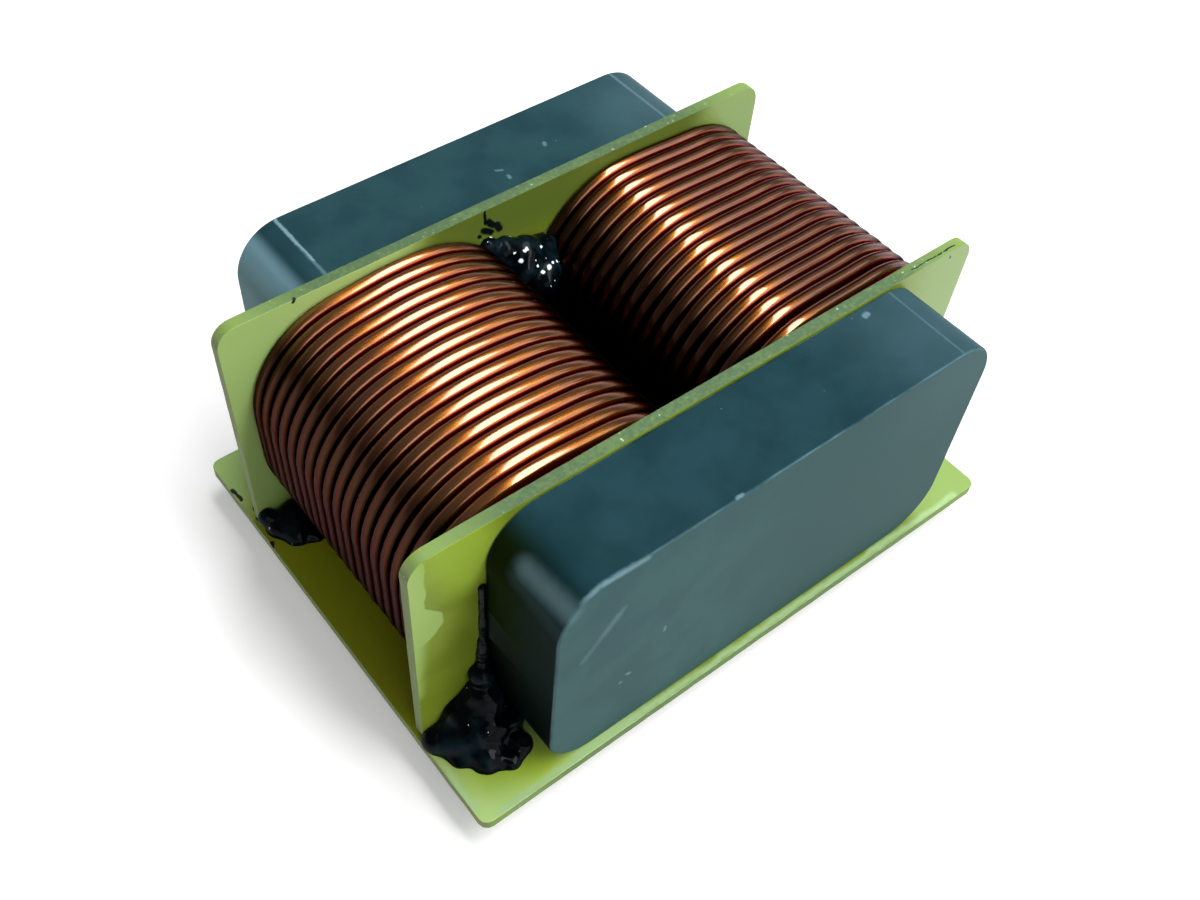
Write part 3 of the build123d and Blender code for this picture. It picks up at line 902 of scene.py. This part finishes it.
glueMake = {"grain": 0.13, "threshold": 0.35, "ballScale": 1.5, "beadScale": 1.3,
            "ripple": 0.15, "rippleSize": 0.35, "finer": 3, "finerShare": 0.4}
glueLumps = {  # balls: middle and radius; beads: from, to and radius; walls: what cuts the lump flat
    "front_glue": {
        "balls": [(-38.8, -20.0, 2.0, 1.15), (-38.6, -20.4, 1.3, 1.4), (-37.2, -21.0, 1.6, 2.4),
                  (-37.4, -23.6, 0.6, 1.6), (-35.4, -22.2, 1.6, 2.8), (-34.9, -25.2, 0.8, 2.4),
                  (-33.0, -27.0, 0.5, 1.7), (-31.2, -26.0, 0.8, 1.9), (-33.0, -22.4, 2.8, 3.0),
                  (-32.2, -20.6, 6.0, 2.4), (-34.6, -20.2, 4.0, 2.4), (-31.8, -19.9, 9.4, 1.5),
                  (-30.4, -23.2, 2.6, 1.8)],
        "beads": [((-31.5, -19.6, 9.5), (-31.1, -19.3, 15.0), 0.8),
                  ((-31.1, -19.3, 15.0), (-31.0, -19.2, 25.0), 0.5)],
        "walls": [("y", -1, flangeFront), ("z", 1, plateTop)],
    },
    "rear_glue": {
        "balls": [(-37.6, 15.8, 1.6, 1.9), (-36.4, 13.6, 1.2, 2.0), (-35.2, 15.8, 2.0, 2.3),
                  (-34.6, 12.4, 1.0, 1.5), (-38.4, 18.4, 1.2, 1.2), (-38.2, 20.0, 1.0, 1.0),
                  (-38.6, 17.0, 3.0, 1.2)],
        "beads": [], "walls": [("z", 1, plateTop)],
    },
    "top_glue": {
        "balls": [(-4.0, 17.4, 29.8, 1.2), (-2.2, 16.8, 28.2, 2.0), (0.6, 16.2, 26.8, 2.5),
                  (3.6, 16.4, 25.8, 2.3), (5.6, 17.0, 25.0, 1.3), (-0.6, 14.6, 25.8, 1.9),
                  (2.0, 14.0, 24.8, 2.2), (1.0, 12.6, 24.4, 1.6)],
        "beads": [], "walls": [("y", -1, boxOf("rear_flange")[0].y)],
    },
}


def glueMesh(make, lump):
    ball = bpy.data.metaballs.new("lump")
    ball.resolution = make["grain"]
    ball.threshold = make["threshold"]
    lumps = [((x, y, z), radius * make["ballScale"]) for x, y, z, radius in lump["balls"]]
    for start, end, radius in lump["beads"]:
        start, end = Vector(start), Vector(end)
        count = round((end - start).length / radius)
        lumps += [(start.lerp(end, i / count), radius * make["beadScale"]) for i in range(count + 1)]
    for place, radius in lumps:
        element = ball.elements.new()
        element.co = place
        element.radius = radius
    piece = intoScene("lump", ball)
    bpy.context.view_layer.update()
    mesh = applied(piece)
    shape = bmesh.new()
    shape.from_mesh(mesh)
    for vertex in shape.verts:
        place = vertex.co * make["rippleSize"]
        swell = noise.noise(place) + make["finerShare"] * noise.noise(place * make["finer"])
        vertex.co += vertex.normal * swell * make["ripple"]
    for axis, sign, wall in lump["walls"]:
        normal = Vector([sign if letter == axis else 0 for letter in "xyz"])
        parts = shape.verts[:] + shape.edges[:] + shape.faces[:]
        cut = bmesh.ops.bisect_plane(shape, geom=parts, plane_co=normal * wall * sign, plane_no=-normal,
                                     clear_outer=True)
        rim = [e for e in cut["geom_cut"] if isinstance(e, bmesh.types.BMEdge)]
        bmesh.ops.holes_fill(shape, edges=rim, sides=0)
    bmesh.ops.recalc_face_normals(shape, faces=shape.faces)
    shape.to_mesh(mesh)
    shape.free()
    mesh.transform(Matrix.Scale(mm, 4))
    return mesh


for node, lump in glueLumps.items():
    makePiece(node + "_lump", glueMesh(glueMake, lump), epoxy, node, sharp=60)
print("glue made")


# CAD nodes that stay: sleeves and spacers

for side in ("left", "right"):
    for node, material in ((side + "_sleeve", paper), (side + "_gap_spacer", spacerBoard)):
        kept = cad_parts[node].data.materials
        kept.clear()
        kept.append(material)


# Floor, light and camera

stageMake = {
    "floorSize": 6.0, "floorColour": (0.82, 0.82, 0.82, 1), "glow": (0.3, 0.3, 0.3, 1),
    "bounce": (0.35, 0.35, 0.35, 1),  # the floor's colour where only its light arrives
    "nearEnd": 300, "farFrom": 800,  # millimetres: between them the lamps' light ends and the glow grows
    "ambient": 0.17, "ceiling": 0.035,
    "sweepTop": 0.12, "ceilingFrom": 0.42,  # heights of a direction, 0 level to 1 up
}
photoView = {
    "width": 1200, "height": 900, "azimuth": -39.65, "elevation": 52.55, "roll": 2.95,
    "distance": 168.67, "target": (-4.63, 3.08, -2.42),  # millimetres
    "focal": 1255.28, "principal": (547.88, 488.62), "sensor": 36,  # pixels, and millimetres of sensor
    "clipStart": 0.01,
}
lamps = {
    # place: metres from the middle of the plate; aim: the way a lamp faces; size in metres, power in watts
    "strip": {"place": (0.226, -0.15, 0.64), "aim": (0, 0, -1), "size": (0.285, 1.12), "power": 7.2,
              "shape": "ELLIPSE"},
    "wide": {"place": (0.62, -0.2, 0.64), "aim": (0, 0, -1), "size": (0.5, 0.4), "power": 0.55,
             "shape": "RECTANGLE"},
    "front": {"place": (0.15, -0.8, 0.48), "aim": (-0.15, 0.8, -0.46), "size": (1.3, 0.8), "power": 5.0,
              "shape": "RECTANGLE"},
}


def shownRay(shader):
    # 1 where the camera, a reflection or clear glass looks, 0 where light only bounces
    ray = [shader.node("LightPath", output=name) for name in
           ("Is Camera Ray", "Is Glossy Ray", "Is Transmission Ray")]
    return ray[0].most(ray[1]).most(ray[2])


def makeFloor(make):
    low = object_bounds()[0]
    half = make["floorSize"] / 2
    corners = [(-half, -half, low.z), (half, -half, low.z), (half, half, low.z), (-half, half, low.z)]
    mesh = bpy.data.meshes.new("floor")
    mesh.from_pydata(corners, [], [(0, 1, 2, 3)])
    floor = intoScene("floor", mesh)
    floor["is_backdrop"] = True
    shader = Shader("floorPaint")
    seen = shownRay(shader)
    lit = shader.node("BsdfDiffuse", {}, {"Color": shader.mix(seen, make["bounce"], make["floorColour"])})
    x, y = shader.parts(shader.place())[:2]
    far = shader.step(x * x + y * y, make["nearEnd"] ** 2, make["farFrom"] ** 2)
    glow = shader.mix(seen, black, shader.mix(far, make["glow"], white))
    both = shader.node("AddShader", {}, {0: lit, 1: shader.node("Emission", {}, {"Color": glow})})
    shader.node("OutputMaterial", {}, {"Surface": both})
    mesh.materials.append(shader.material)


def makeWorld(make):
    world = bpy.data.worlds.new("studio")
    bpy.context.scene.world = world
    world.use_nodes = True
    shader = Shader("worldDraft")
    bpy.data.materials.remove(shader.material)
    shader.tree = world.node_tree
    shader.tree.nodes.clear()
    height = shader.parts(shader.node("TexCoord", output="Generated"))[2]
    dimming = shader.step(height, make["sweepTop"], make["ceilingFrom"]) * (1 - make["ceiling"])
    shown = shownRay(shader) * (1 - make["ambient"])
    strength = make["ambient"] + shown * (1 - dimming)
    surface = shader.node("Background", {}, {"Color": white, "Strength": strength})
    shader.node("OutputWorld", {}, {"Surface": surface})


def makeLamp(name, make):
    light = bpy.data.lights.new(name, "AREA")
    light.shape = make["shape"]
    light.size, light.size_y = make["size"]
    light.energy = make["power"]
    lamp = intoScene(name, light)
    lamp.location = make["place"]
    lamp.rotation_euler = Vector(make["aim"]).to_track_quat("-Z", "Y").to_euler()


def makeCamera(view):
    azimuth, elevation, roll = (math.radians(view[key]) for key in ("azimuth", "elevation", "roll"))
    back = Vector((math.sin(azimuth) * math.cos(elevation), -math.cos(azimuth) * math.cos(elevation),
                   math.sin(elevation)))
    level = Vector((math.cos(azimuth), math.sin(azimuth), 0))
    over = back.cross(level)
    right = math.cos(roll) * level + math.sin(roll) * over
    up = math.cos(roll) * over - math.sin(roll) * level
    camera = bpy.data.cameras.new("camera")
    camera.sensor_width = view["sensor"]
    camera.lens = view["focal"] / view["width"] * view["sensor"]
    camera.shift_x = (view["width"] / 2 - view["principal"][0]) / view["width"]
    camera.shift_y = (view["principal"][1] - view["height"] / 2) / view["width"]
    camera.clip_start = view["clipStart"]
    holder = intoScene("camera", camera)
    turn = Matrix((right, up, back)).transposed().to_4x4()
    holder.matrix_world = Matrix.Translation((Vector(view["target"]) + back * view["distance"]) * mm) @ turn
    bpy.context.scene.camera = holder


makeFloor(stageMake)
makeWorld(stageMake)
for name, make in lamps.items():
    makeLamp(name, make)
makeCamera(photoView)
bpy.context.scene.view_settings.view_transform = "Standard"
print("stage made")
